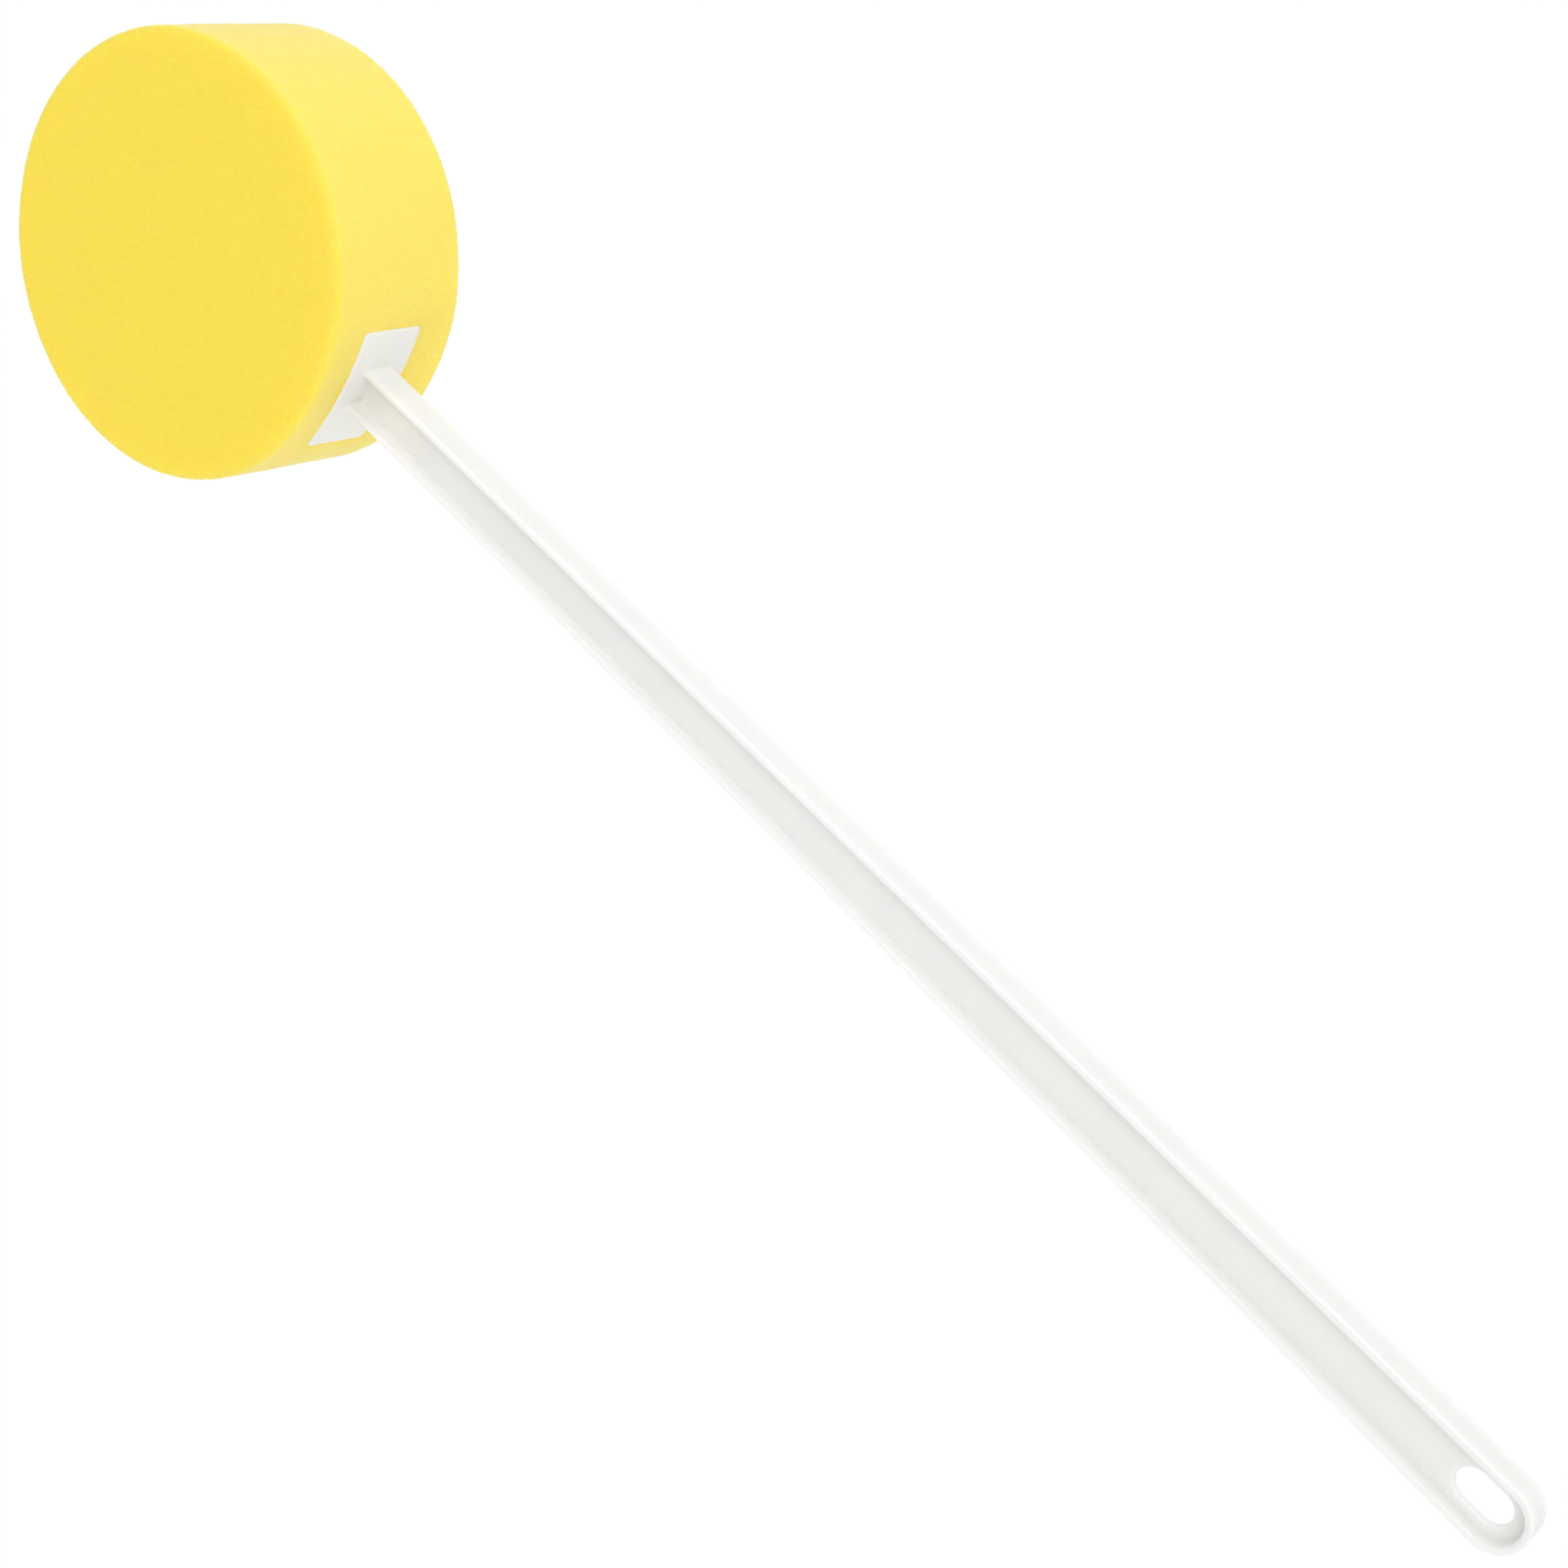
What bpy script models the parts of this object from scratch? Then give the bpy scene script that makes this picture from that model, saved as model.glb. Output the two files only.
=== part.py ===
"""Foam sponge brush: a round foam disc on a long moulded plastic handle.

The handle is one moulding: an I-section stem with a rounded, slotted end, a curved
flange that sits on the disc's rim, and a flat blade that fills a slit in the disc.
A film of adhesive on each side of the blade bonds the foam to it.

Frame, in metres: the origin is the centre of the disc's rear face, +Z runs along the
disc's axis to its front face, and +X runs along the handle to the hanging slot.
"""

import math

import bmesh
import bpy
from mathutils import Matrix

OBJECT_NAME = "foam_sponge_brush"

# Foam disc.
FOAM_RADIUS = 0.050
FOAM_THICKNESS = 0.0405
FOAM_EDGE_RADIUS = 0.0015
FOAM_SIDES = 96
FOAM_EDGE_SEGMENTS = 3
MID_PLANE = FOAM_THICKNESS / 2

# Stem: an I-section bar whose width grows and whose depth shrinks towards the slot.
HANDLE_REACH = 0.392
STEM_WIDTH_AT_FLANGE = 0.0110
STEM_WIDTH_AT_END = 0.0160
STEM_DEPTH_AT_FLANGE = 0.0087
STEM_DEPTH_AT_END = 0.0073
WALL_AT_FLANGE = 0.0013
WALL_AT_END = 0.0017
WEB_THICKNESS = 0.0018
TIP_LENGTH = 0.0076
TIP_STEPS = 24
RIM_ROUND = 0.00028
WALL_DRAFT = 0.00015
FLOOR_FILLET = 0.00035

# Hanging slot through the web.
SLOT_CENTRE_X = 0.3806
SLOT_WIDTH = 0.0079
SLOT_LENGTH = 0.0132
SLOT_STEPS = 12

# Flange on the disc's rim: long side around the rim, short side along the disc's axis.
# Its plate is bent about an axis parallel to the disc's, but flatter than the rim.
FLANGE_FACE_X = 0.0489
FLANGE_BEND_RADIUS = 0.0950
FLANGE_TILT = math.radians(-1.6)
FLANGE_THICKNESS = 0.0018
FLANGE_LENGTH = 0.0333
FLANGE_WIDTH = 0.0184
FLANGE_SHIFT_Y = -0.0007
FLANGE_CORNER = 0.0013
FLANGE_EDGE_ROUND = 0.0007
FLANGE_STEPS = 16
BEND_X = FLANGE_FACE_X - FLANGE_BEND_RADIUS * math.cos(FLANGE_TILT)
BEND_Y = FLANGE_SHIFT_Y - FLANGE_BEND_RADIUS * math.sin(FLANGE_TILT)

# Blade inside the foam, with keying holes for the adhesive.
BLADE_THICKNESS = 0.0022
BLADE_ROOT_WIDTH = 0.0260
BLADE_NOSE_WIDTH = 0.0200
BLADE_NOSE_X = -0.0240
BLADE_STEPS = 16
ROOT_STEPS = 8
KEY_HOLE_RADIUS = 0.0030
KEY_HOLE_SIDES = 24
KEY_HOLE_PLACES = (-0.0120, 0.0020, 0.0160, 0.0300)

# Adhesive films and the slit and seat that the foam has for the moulding.
FIT_GAP = 0.0003
GLUE_THICKNESS = 0.0005
GLUE_INSET = 0.0020
GLUE_ROOT_X = 0.0440
SLIT_HALF_HEIGHT = BLADE_THICKNESS / 2 + 2 * FIT_GAP + GLUE_THICKNESS
SLIT_SIDE_GAP = 0.0006

# An edge that turns by more than this angle, in radians, is a corner of the flange.
CORNER_ANGLE = 1.0

# Cutters run this far past what they cut; joined shapes overlap by it too.
OVERRUN = 0.0010
MERGE_DISTANCE = 0.000001

FOAM_COLOUR = (0.955, 0.745, 0.095)
PLASTIC_COLOUR = (0.86, 0.86, 0.83)
GLUE_COLOUR = (0.80, 0.74, 0.58)


def clear_scene():
    """Remove every object, so the model starts from an empty scene."""
    for item in list(bpy.data.objects):
        bpy.data.objects.remove(item, do_unlink=True)


def add_collection(name):
    """Return a new collection linked to the scene."""
    collection = bpy.data.collections.new(name)
    bpy.context.scene.collection.children.link(collection)
    return collection


def add_material(name, colour, roughness):
    """Return a Principled material for a non-metal."""
    material = bpy.data.materials.new(name)
    material.use_nodes = True
    shader = material.node_tree.nodes["Principled BSDF"]
    shader.inputs["Base Color"].default_value = (*colour, 1.0)
    shader.inputs["Roughness"].default_value = roughness
    shader.inputs["Metallic"].default_value = 0.0
    return material


def arc(centre, radius_x, radius_y, start, stop, steps):
    """Return points on an elliptic arc about centre, both ends included."""
    points = []
    for step in range(steps + 1):
        angle = start + (stop - start) * step / steps
        x = centre[0] + radius_x * math.cos(angle)
        y = centre[1] + radius_y * math.sin(angle)
        points.append((x, y))
    return points


def outline_solid(name, points, thickness, collection):
    """Return a closed solid: a flat outline in XY, thickened evenly about Z = 0."""
    curve = bpy.data.curves.new(name + "_outline", "CURVE")
    curve.dimensions = "2D"
    curve.fill_mode = "BOTH"
    curve.extrude = thickness / 2
    spline = curve.splines.new("POLY")
    spline.points.add(len(points) - 1)
    for point, (x, y) in zip(spline.points, points):
        point.co = (x, y, 0.0, 1.0)
    spline.use_cyclic_u = True
    outline = bpy.data.objects.new(name + "_outline", curve)
    collection.objects.link(outline)
    bpy.context.view_layer.update()
    evaluated = outline.evaluated_get(bpy.context.evaluated_depsgraph_get())
    mesh = bpy.data.meshes.new_from_object(evaluated)
    mesh.name = name
    shape = bmesh.new()
    shape.from_mesh(mesh)
    bmesh.ops.remove_doubles(shape, verts=shape.verts, dist=MERGE_DISTANCE)
    bmesh.ops.recalc_face_normals(shape, faces=shape.faces)
    shape.to_mesh(mesh)
    shape.free()
    solid = bpy.data.objects.new(name, mesh)
    solid.matrix_world = outline.matrix_world
    collection.objects.link(solid)
    bpy.data.objects.remove(outline, do_unlink=True)
    return solid


def hide_helper(helper):
    """Mark a solid that only shapes another one."""
    helper.hide_render = True
    helper.display_type = "WIRE"


def add_boolean(target, helper, operation):
    """Cut target with helper, or join helper to it."""
    modifier = target.modifiers.new(operation.lower() + "_" + helper.name, "BOOLEAN")
    modifier.operation = operation
    modifier.solver = "EXACT"
    modifier.object = helper


def add_bevel(target, width, segments, angle):
    """Round the edges of target that are sharper than angle, in degrees."""
    modifier = target.modifiers.new("rounded_edges", "BEVEL")
    modifier.width = width
    modifier.segments = segments
    modifier.limit_method = "ANGLE"
    modifier.angle_limit = math.radians(angle)
    modifier.use_clamp_overlap = True


def shade(target, angle):
    """Shade smooth, with edges sharper than angle, in degrees, left sharp."""
    target.data.shade_smooth()
    target.data.set_sharp_from_angle(angle=math.radians(angle))


def along_stem(x, at_flange, at_end):
    """Return a stem size at x, which changes evenly from the flange to the tip's arc."""
    start = FLANGE_FACE_X
    stop = HANDLE_REACH - TIP_LENGTH
    share = min(max((x - start) / (stop - start), 0.0), 1.0)
    return at_flange + (at_end - at_flange) * share


def stem_outline(start_x, inset_at_flange, inset_at_end):
    """Return the stem's outline, moved inwards by an inset that grows to the tip."""
    centre = (HANDLE_REACH - TIP_LENGTH, 0.0)
    end_half = STEM_WIDTH_AT_END / 2 - inset_at_end
    root_half = STEM_WIDTH_AT_FLANGE / 2 - inset_at_flange
    tip = arc(centre, TIP_LENGTH - inset_at_end, end_half, -math.pi / 2, math.pi / 2, TIP_STEPS)
    upper_root = [(FLANGE_FACE_X, root_half), (start_x, root_half)]
    lower_root = [(start_x, -root_half), (FLANGE_FACE_X, -root_half)]
    return tip + upper_root + lower_root


def make_stem(collection):
    """Return the stem as a solid bar, its depth tapered and its rims rounded."""
    start_x = FLANGE_FACE_X - OVERRUN
    stem = outline_solid("handle", stem_outline(start_x, 0.0, 0.0), 1.0, collection)
    for vertex in stem.data.vertices:
        depth = along_stem(vertex.co.x, STEM_DEPTH_AT_FLANGE, STEM_DEPTH_AT_END)
        vertex.co.z = math.copysign(depth / 2, vertex.co.z)
    stem.location.z = MID_PLANE
    add_bevel(stem, RIM_ROUND, 2, 60)
    return stem


def make_recess(name, turn, collection):
    """Return the cutter of one of the stem's long recesses, narrower at its floor."""
    start_x = FLANGE_FACE_X - 2 * OVERRUN
    depth = STEM_DEPTH_AT_FLANGE / 2 + OVERRUN - WEB_THICKNESS / 2
    outline = stem_outline(start_x, WALL_AT_FLANGE, WALL_AT_END)
    recess = outline_solid(name, outline, depth, collection)
    centre_x = HANDLE_REACH - TIP_LENGTH
    tip_length = TIP_LENGTH - WALL_AT_END
    for vertex in recess.data.vertices:
        if vertex.co.z < 0:
            vertex.co.y -= math.copysign(WALL_DRAFT, vertex.co.y)
            reach = max(vertex.co.x - centre_x, 0.0) / tip_length
            vertex.co.x -= WALL_DRAFT * reach
        vertex.co.z += depth / 2 + WEB_THICKNESS / 2
    add_bevel(recess, FLOOR_FILLET, 2, 60)
    recess.location.z = MID_PLANE
    recess.rotation_euler.x = turn
    return recess


def make_slot(collection):
    """Return the cutter of the hanging slot, a straight slot with round ends."""
    radius = SLOT_WIDTH / 2
    half = SLOT_LENGTH / 2 - radius
    far_centre = (SLOT_CENTRE_X + half, 0.0)
    near_centre = (SLOT_CENTRE_X - half, 0.0)
    far_end = arc(far_centre, radius, radius, -math.pi / 2, math.pi / 2, SLOT_STEPS)
    near_end = arc(near_centre, radius, radius, math.pi / 2, 3 * math.pi / 2, SLOT_STEPS)
    slot = outline_solid("slot_cutter", far_end + near_end, STEM_DEPTH_AT_FLANGE, collection)
    slot.location.z = MID_PLANE
    return slot


def bent_outline(inner, outer, length):
    """Return the outline of a band between two radii of the flange's bend."""
    centre = (BEND_X, BEND_Y)
    low = FLANGE_TILT - length / 2 / FLANGE_BEND_RADIUS
    high = FLANGE_TILT + length / 2 / FLANGE_BEND_RADIUS
    outside = arc(centre, outer, outer, low, high, FLANGE_STEPS)
    inside = arc(centre, inner, inner, high, low, FLANGE_STEPS)
    return outside + inside


def bent_x(y, depth):
    """Return the x of a point at y that lies depth under the flange's outer face."""
    radius = FLANGE_BEND_RADIUS - depth
    return BEND_X + math.sqrt(radius**2 - (y - BEND_Y) ** 2)


def runs_through(edge):
    """Say whether an edge of the flange runs from its inner to its outer face."""
    first, second = (math.dist(vertex.co.xy, (BEND_X, BEND_Y)) for vertex in edge.verts)
    return abs(first - second) > FLANGE_THICKNESS / 2


def make_flange(collection):
    """Return the flange plate, with rounded corners and rounded edges."""
    inner = FLANGE_BEND_RADIUS - FLANGE_THICKNESS
    outline = bent_outline(inner, FLANGE_BEND_RADIUS, FLANGE_LENGTH)
    flange = outline_solid("flange", outline, FLANGE_WIDTH, collection)
    shape = bmesh.new()
    shape.from_mesh(flange.data)
    through = [edge for edge in shape.edges if runs_through(edge)]
    corners = [edge for edge in through if edge.calc_face_angle(0.0) > CORNER_ANGLE]
    bmesh.ops.bevel(
        shape, geom=corners, offset=FLANGE_CORNER, segments=3, profile=0.5, affect="EDGES"
    )
    shape.to_mesh(flange.data)
    shape.free()
    add_bevel(flange, FLANGE_EDGE_ROUND, 2, 60)
    flange.location.z = MID_PLANE
    return flange


def straight_root(root_x, width):
    """Return the ends of a root that is cut square at root_x."""
    return [(root_x, FLANGE_SHIFT_Y - width / 2), (root_x, FLANGE_SHIFT_Y + width / 2)]


def bent_root(depth, width):
    """Return the points of a root that follows the flange, depth under its outer face."""
    points = []
    for step in range(ROOT_STEPS + 1):
        y = FLANGE_SHIFT_Y + width * (step / ROOT_STEPS - 0.5)
        points.append((bent_x(y, depth), y))
    return points


def blade_outline(nose_x, nose_width, root):
    """Return the blade's outline: a tapered strip from its root to a round nose."""
    radius = nose_width / 2
    centre = (nose_x + radius, FLANGE_SHIFT_Y)
    return arc(centre, radius, radius, math.pi / 2, 3 * math.pi / 2, BLADE_STEPS) + root


def make_blade(collection):
    """Return the blade that the foam is pushed onto."""
    root = bent_root(FLANGE_THICKNESS / 2, BLADE_ROOT_WIDTH)
    outline = blade_outline(BLADE_NOSE_X, BLADE_NOSE_WIDTH, root)
    blade = outline_solid("blade", outline, BLADE_THICKNESS, collection)
    blade.location.z = MID_PLANE
    return blade


def make_key_hole(place, number, collection):
    """Return the cutter of one keying hole through the blade."""
    shape = bmesh.new()
    bmesh.ops.create_cone(
        shape,
        cap_ends=True,
        segments=KEY_HOLE_SIDES,
        radius1=KEY_HOLE_RADIUS,
        radius2=KEY_HOLE_RADIUS,
        depth=BLADE_THICKNESS + 2 * OVERRUN,
    )
    mesh = bpy.data.meshes.new("key_hole")
    shape.to_mesh(mesh)
    shape.free()
    hole = bpy.data.objects.new(f"key_hole_{number}", mesh)
    hole.location = (place, FLANGE_SHIFT_Y, MID_PLANE)
    collection.objects.link(hole)
    return hole


def make_handle(parts, helpers, material):
    """Make the whole moulding: recessed stem, hanging slot, flange and blade."""
    handle = make_stem(parts)
    cutters = [
        make_recess("front_recess", 0.0, helpers),
        make_recess("rear_recess", math.pi, helpers),
        make_slot(helpers),
    ]
    joined = [make_flange(helpers), make_blade(helpers)]
    holes = [make_key_hole(x, number, helpers) for number, x in enumerate(KEY_HOLE_PLACES, 1)]
    for cutter in cutters:
        add_boolean(handle, cutter, "DIFFERENCE")
    for addition in joined:
        add_boolean(handle, addition, "UNION")
    for hole in holes:
        add_boolean(handle, hole, "DIFFERENCE")
    for helper in cutters + joined + holes:
        hide_helper(helper)
    handle.data.materials.append(material)
    shade(handle, 35)
    return handle


def make_slit(collection):
    """Return the cutter of the slit in the foam, open at the rim."""
    gap = SLIT_SIDE_GAP
    root = straight_root(FOAM_RADIUS + OVERRUN, BLADE_ROOT_WIDTH + 2 * gap)
    outline = blade_outline(BLADE_NOSE_X - gap, BLADE_NOSE_WIDTH + 2 * gap, root)
    slit = outline_solid("slit_cutter", outline, 2 * SLIT_HALF_HEIGHT, collection)
    slit.location.z = MID_PLANE
    return slit


def make_seat(collection):
    """Return the cutter of the shallow seat that the flange presses into the rim."""
    inner = FLANGE_BEND_RADIUS - FLANGE_THICKNESS - FIT_GAP
    outer = FLANGE_BEND_RADIUS + 2 * OVERRUN
    outline = bent_outline(inner, outer, FLANGE_LENGTH + 2 * FIT_GAP)
    seat = outline_solid("seat_cutter", outline, FLANGE_WIDTH + 2 * FIT_GAP, collection)
    seat.location.z = MID_PLANE
    return seat


def make_foam_head(parts, helpers, material):
    """Make the foam disc with soft edges, the slit and the flange's seat."""
    shape = bmesh.new()
    bmesh.ops.create_cone(
        shape,
        cap_ends=True,
        segments=FOAM_SIDES,
        radius1=FOAM_RADIUS,
        radius2=FOAM_RADIUS,
        depth=FOAM_THICKNESS,
        matrix=Matrix.Translation((0.0, 0.0, MID_PLANE)),
    )
    mesh = bpy.data.meshes.new("foam_head")
    shape.to_mesh(mesh)
    shape.free()
    foam = bpy.data.objects.new("foam_head", mesh)
    parts.objects.link(foam)
    add_bevel(foam, FOAM_EDGE_RADIUS, FOAM_EDGE_SEGMENTS, 60)
    for cutter in (make_seat(helpers), make_slit(helpers)):
        add_boolean(foam, cutter, "DIFFERENCE")
        hide_helper(cutter)
    foam.data.materials.append(material)
    shade(foam, 35)
    return foam


def make_glue_film(name, side, parts, material):
    """Make the adhesive film on one side of the blade; side is +1 or -1 along Z."""
    root = straight_root(GLUE_ROOT_X, BLADE_ROOT_WIDTH - 2 * GLUE_INSET)
    outline = blade_outline(BLADE_NOSE_X + GLUE_INSET, BLADE_NOSE_WIDTH - 2 * GLUE_INSET, root)
    film = outline_solid(name, outline, GLUE_THICKNESS, parts)
    film.location.z = MID_PLANE + side * (BLADE_THICKNESS / 2 + FIT_GAP + GLUE_THICKNESS / 2)
    film.data.materials.append(material)
    return film


def main():
    """Build the brush in one collection and its helpers in another."""
    clear_scene()
    parts = add_collection(OBJECT_NAME)
    helpers = add_collection("cutters")
    foam = add_material("yellow_foam", FOAM_COLOUR, 0.95)
    plastic = add_material("white_plastic", PLASTIC_COLOUR, 0.42)
    glue = add_material("adhesive", GLUE_COLOUR, 0.5)
    make_handle(parts, helpers, plastic)
    make_foam_head(parts, helpers, foam)
    make_glue_film("glue_film_front", 1, parts, glue)
    make_glue_film("glue_film_rear", -1, parts, glue)
    bpy.context.view_layer.update()


main()
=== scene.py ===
"""Looks of the foam sponge brush: a cut foam disc on a white moulded plastic handle.

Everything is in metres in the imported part's frame: the origin is the centre of the
disc's rear face, +Z runs along the disc's axis and +X along the handle to its slot.
"""

import math

import bmesh
import bpy
import numpy as np
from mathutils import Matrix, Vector, geometry, noise


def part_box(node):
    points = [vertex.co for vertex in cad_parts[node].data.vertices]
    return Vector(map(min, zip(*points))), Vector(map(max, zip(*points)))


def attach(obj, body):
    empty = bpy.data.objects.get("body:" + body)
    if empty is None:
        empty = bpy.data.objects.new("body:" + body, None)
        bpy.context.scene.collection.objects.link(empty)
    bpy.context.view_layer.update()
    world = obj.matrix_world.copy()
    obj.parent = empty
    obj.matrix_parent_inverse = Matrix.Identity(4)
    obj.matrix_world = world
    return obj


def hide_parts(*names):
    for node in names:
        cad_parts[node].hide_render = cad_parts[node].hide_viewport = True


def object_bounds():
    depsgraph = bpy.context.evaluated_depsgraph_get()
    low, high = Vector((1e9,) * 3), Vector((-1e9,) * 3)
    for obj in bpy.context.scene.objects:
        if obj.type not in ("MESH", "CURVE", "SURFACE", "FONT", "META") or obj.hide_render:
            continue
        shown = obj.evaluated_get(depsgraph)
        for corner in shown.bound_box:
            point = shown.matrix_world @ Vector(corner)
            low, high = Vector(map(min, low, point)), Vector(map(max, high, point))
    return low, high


# Camera: where it stands, how it is turned in degrees, its lens and sensor in millimetres,
# and the nearest and farthest distance that it sees.
CAMERA_PLACE = (0.35868, 0.31835, 0.49889)
CAMERA_TURN = (-15.3603, 34.1174, 34.8195)
CAMERA_LENS = 65.81
CAMERA_SENSOR = 36.0
CAMERA_NEAR = 0.01
CAMERA_FAR = 50.0

# Foam disc. It was pushed on by hand, so it sits a little to one side of the stem.
FOAM_SHIFT = (0.0003, 0.0010, 0.0)
FOAM_EDGE_RADIUS = 0.0015
FOAM_GRID = 143
FOAM_EDGE_STEPS = 5
FOAM_SIDE_STEPS = 68
FOAM_SHARP_ANGLE = math.radians(50)

# Relief of the cut foam: broad lumps, fractal knife marks, and pores. A pore's reach is
# its radius as a share of the pores' spacing.
LUMP_SIZE = 0.018
LUMP_HEIGHT = 0.00013
CUT_SIZE = 0.0028
CUT_HEIGHT = 0.00005
CUT_SMOOTHNESS = 0.9
CUT_SCALE_STEP = 2.1
CUT_OCTAVES = 3
PORE_SIZE = 0.00115
PORE_DEPTH = 0.00012
PORE_REACH = 0.62

# Painted shade on the ridges round the disc, darker than the face, against the lamps' highlight
# on the rounded edge: how far it spreads, and where on the rounded edge its middle lies, as a
# turn from the flat face.
RIDGE_SHADE_SPREAD = 0.0010
RIDGE_SHADE_TURN = math.radians(38)

# Stem of the moulding, as in the CAD part: sizes at the flange and at the tip.
STEM_WIDTH = (0.0110, 0.0160)
STEM_DEPTH = (0.0087, 0.0073)
STEM_WALL = (0.0013, 0.0017)
WEB_THICKNESS = 0.0018
TIP_LENGTH = 0.0076
OUTER_RIM_ROUND = 0.00020
INNER_RIM_ROUND = 0.00016
FLOOR_FILLET = 0.00035
WALL_DRAFT = 0.00015
ROUND_STEPS = 5
STEM_STATIONS = 90
TIP_STATIONS = 40
HANDLE_SHARP_ANGLE = math.radians(32)

# Fillet where the stem joins the flange: its radius, its steepest turn in degrees, and steps.
JOIN_FILLET = 0.0005
JOIN_TURN = 80.0
JOIN_STEPS = 7

# Hanging slot.
SLOT_CENTRE_X = 0.3806
SLOT_WIDTH = 0.0079
SLOT_LENGTH = 0.0132
SLOT_EDGE_ROUND = 0.00022
SLOT_STEPS = 28

# Flange on the disc's rim, bent a little less than the rim, and the blade inside the foam.
FLANGE_FACE_X = 0.0489
FLANGE_BEND_RADIUS = 0.095
FLANGE_TILT = math.radians(-1.6)
FLANGE_THICKNESS = 0.0018
FLANGE_LENGTH = 0.0333
FLANGE_WIDTH = 0.0184
FLANGE_SHIFT_Y = -0.0007
FLANGE_CORNER = 0.0013
FLANGE_EDGE_ROUND = 0.0007
FLANGE_CORNER_STEPS = 6
FLANGE_EDGE_STEPS = 5
FLANGE_SLICES = 36
BLADE_THICKNESS = 0.0022
BLADE_ROOT_WIDTH = 0.0260
BLADE_NOSE_WIDTH = 0.0200
BLADE_NOSE_X = -0.0240
BLADE_EDGE_ROUND = 0.0003
BLADE_EDGE_STEPS = 3
BLADE_NOSE_STEPS = 32
BLADE_ROOT_STEPS = 12
KEY_HOLE_RADIUS = 0.0030
KEY_HOLE_SIDES = 40
KEY_HOLE_PLACES = (-0.0120, 0.0020, 0.0160, 0.0300)

# How the foam lies round the moulding. The dent fades with the distance from the flange,
# and below DENT_END of its depth it is left out.
POCKET_GAP = 0.00004
SLIT_HALF_HEIGHT = 0.0022
SLIT_SIDE_GAP = 0.0006
DENT_LIP = 0.0003
DENT_SPREAD = 0.0060
DENT_FALL = 1.6
DENT_END = 0.001
SEAT_SPREAD = 0.0050

# Edges that climb less than LEVEL_LIMIT are level; points closer than MERGE_DISTANCE are one.
LEVEL_LIMIT = 1e-6
MERGE_DISTANCE = 1e-7

# Colours of the materials, as linear red, green and blue.
FOAM_FACE_COLOUR = (0.992, 0.742, 0.088)
# The side is paler than the face: partly the cut side's own nap, partly painted sheen.
FOAM_SIDE_NAP_AND_SHEEN_COLOUR = (0.944, 0.753, 0.152)
# Painted shade for the rounded ridges, darker than the face, against the lamps' highlight there.
FOAM_RIDGE_SHADE_COLOUR = (0.892, 0.700, 0.117)
FOAM_DEEP_COLOUR = (0.911, 0.621, 0.048)
FOAM_NAP_COLOUR = (1.0, 0.98, 0.90)
PLASTIC_WHITE = (0.760, 0.759, 0.752)
PLASTIC_COOL = (0.743, 0.746, 0.746)
# Painted warm light bounced from the foam onto the flange: brighter and yellower.
PLASTIC_FOAM_BOUNCE_LIGHT = (0.818, 0.813, 0.760)
# Painted shade: the plastic greyer towards the slot.
PLASTIC_TIP_SHADE = (0.725, 0.726, 0.722)
GLUE_CLEAR = (0.80, 0.72, 0.52)
GLUE_AMBER = (0.70, 0.58, 0.34)
GLUE_BUBBLE = (0.92, 0.88, 0.78)
WHITE = (1.0, 1.0, 1.0)

# How the foam's material varies: the share of colour of the painted shade on the ridges and of
# the mottle, the painted shade in the pores of the face and of the side, and the light that
# spreads inside it.
RIDGE_SHADE_SHARE = 0.80
MOTTLE_SHARE = 0.05
FACE_PORE_SHADE = 0.46
SIDE_PORE_SHADE = 0.20
FINE_PORE_SIZE = 0.00062
FINE_PORE_RADIUS = 0.45
FOAM_GLOW_INSIDE = 0.65

# Where along the handle the plastic's colour and translucency change: the painted warm light
# from the foam near the flange, the painted shade towards the slot, and the light through the
# thin walls.
FOAM_BOUNCE_REACH = 0.004
TIP_SHADE_START_X = 0.20
THIN_START = 0.002
THIN_END = 0.010

# Studio: a glowing floor like a light table, an even white room and two square softboxes.
FLOOR_DROP = 0.0006
FLOOR_SIZE = 60.0
FLOOR_GLOW = 1.0
FLOOR_COLOUR = (0.01, 0.01, 0.01)
SKY_STRENGTH = 0.66
LIGHT_AIM = (0.15, 0.0, 0.0)
KEY_PLACE = (0.516, 1.366, 1.414)
KEY_SIZE = 2.05
KEY_POWER = 24.5
FILL_PLACE = (1.128, -1.694, 0.416)
FILL_SIZE = 2.6
FILL_POWER = 18.0

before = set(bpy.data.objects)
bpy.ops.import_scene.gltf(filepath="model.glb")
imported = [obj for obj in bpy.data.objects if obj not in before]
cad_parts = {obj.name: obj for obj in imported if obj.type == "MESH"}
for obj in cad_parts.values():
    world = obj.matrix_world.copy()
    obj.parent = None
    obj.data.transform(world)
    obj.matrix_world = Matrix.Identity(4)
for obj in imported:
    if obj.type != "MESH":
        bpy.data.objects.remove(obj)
CAD_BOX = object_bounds()
FOAM_LOW, FOAM_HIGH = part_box("foam_head")
FOAM_RADIUS = (FOAM_HIGH.y - FOAM_LOW.y) / 2
FOAM_THICKNESS = FOAM_HIGH.z - FOAM_LOW.z
MID_PLANE = (FOAM_HIGH.z + FOAM_LOW.z) / 2
HANDLE_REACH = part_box("handle")[1].x
BEND_X = FLANGE_FACE_X - FLANGE_BEND_RADIUS * math.cos(FLANGE_TILT)
BEND_Y = FLANGE_SHIFT_Y - FLANGE_BEND_RADIUS * math.sin(FLANGE_TILT)


def add_object(name, mesh):
    """Link a new object that holds mesh."""
    thing = bpy.data.objects.new(name, mesh)
    bpy.context.scene.collection.objects.link(thing)
    return thing


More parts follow.
